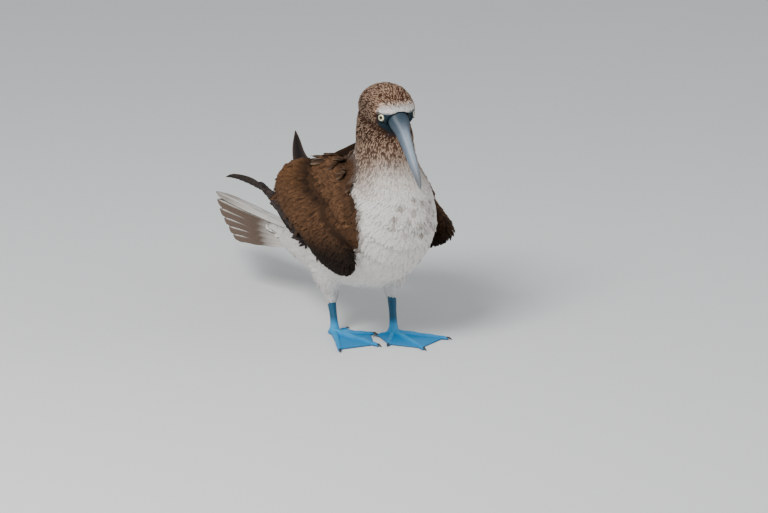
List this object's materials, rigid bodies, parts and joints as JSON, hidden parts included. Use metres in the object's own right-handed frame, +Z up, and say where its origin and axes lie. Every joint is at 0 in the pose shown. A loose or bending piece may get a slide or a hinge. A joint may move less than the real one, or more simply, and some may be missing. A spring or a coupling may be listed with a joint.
{
  "type": "blue-footed booby, life-size still model",
  "caption": "Life-size seabird standing on webbed blue feet, wings held a little out, wedge tail behind, bill pointing down.",
  "frame": {"origin": "on the floor under the middle of the whole bird's box, the plane that both soles rest on", "axes": "+Z up, the bird faces -Y and its tail points to +Y, its left side is +X"},
  "size_m": [0.2031, 0.5449, 0.3628],
  "materials": {
    "white_down": "soft white body feathers, matt",
    "streaked_down": "white and brown streaked neck feathers, matt",
    "head_down": "narrow brown head feathers with pale tips, matt",
    "brown_coverts": "brown wing coverts, soft satin",
    "dark_quills": "dark flight feathers, satin",
    "tail_vanes": "pale grey brown tail feathers with white shafts, satin",
    "blue_skin": "bright blue scaled skin of legs and webs, satin",
    "bill_horn": "blue grey horn, smooth",
    "eye": "pale yellow iris with a dark pupil, wet gloss"
  },
  "bodies": {
    "root": {"torso": "white_down", "neck": "streaked_down", "head": "head_down", "eye_right": "eye", "eye_left": "eye", "bill_upper": "bill_horn", "bill_lower": "bill_horn", "thigh_right": "white_down", "leg_right": "blue_skin", "foot_right": "blue_skin", "shoulder_right": "brown_coverts", "wing_right_arm": "brown_coverts", "wing_right_hand": "dark_quills", "thigh_left": "white_down", "leg_left": "blue_skin", "foot_left": "blue_skin", "shoulder_left": "brown_coverts", "wing_left_arm": "brown_coverts", "wing_left_hand": "dark_quills", "tail": "tail_vanes"}
  },
  "joints": []
}
